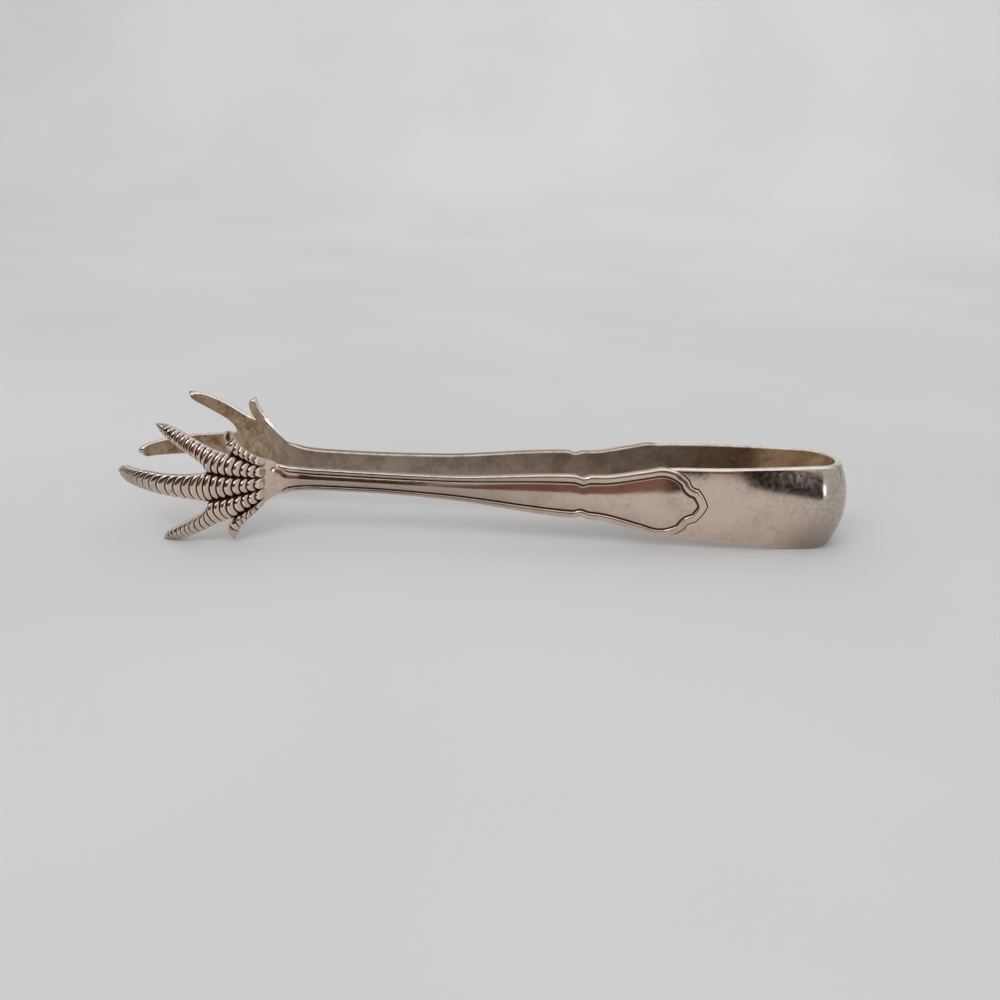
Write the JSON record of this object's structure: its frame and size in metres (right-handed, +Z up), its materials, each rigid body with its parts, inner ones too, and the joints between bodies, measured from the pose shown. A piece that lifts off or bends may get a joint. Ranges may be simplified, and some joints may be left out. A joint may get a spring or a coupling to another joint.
{
  "type": "sugar tongs",
  "caption": "Bow-spring sugar tongs with tapering arms, bordered cartouches and cupped bird-claw ends, lying on one side.",
  "frame": {"origin": "on the surface that the tongs lie on, below the centre of their box", "axes": "+X along the tongs from the claws to the spring bow, +Y from the front arm to the rear arm, +Z up from the lower rim of the bow"},
  "size_m": [0.1198, 0.0244, 0.0189],
  "materials": {
    "band_silver": "polished silver plate on nickel silver, with a warm tarnish",
    "arm_silver": "polished silver plate on nickel silver, darker beside the borders",
    "claw_silver": "polished silver plate on nickel silver, with dark tarnish between the scales"
  },
  "bodies": {
    "bow": {"spring_bow": "band_silver"},
    "front_arm": {"front_arm": "arm_silver", "front_claw": "claw_silver"},
    "rear_arm": {"rear_arm": "arm_silver", "rear_claw": "claw_silver"}
  },
  "joints": [
    {"name": "front_arm_flex", "type": "hinge", "parent": "bow", "child": "front_arm", "pos_m": [0.05268, -0.00475, 0.00725], "axis": [0, 0, -1], "range_deg": [-1, 2.1], "stiffness_Nm_per_rad": 6.5, "deforming": ["spring_bow"]},
    {"name": "rear_arm_flex", "type": "hinge", "parent": "bow", "child": "rear_arm", "pos_m": [0.05268, 0.00475, 0.00725], "axis": [0, 0, 1], "range_deg": [-1, 2.1], "stiffness_Nm_per_rad": 6.5, "deforming": ["spring_bow"]}
  ],
  "couplings": [
    {"joint": "rear_arm_flex", "follows": "front_arm_flex", "ratio": 1}
  ]
}
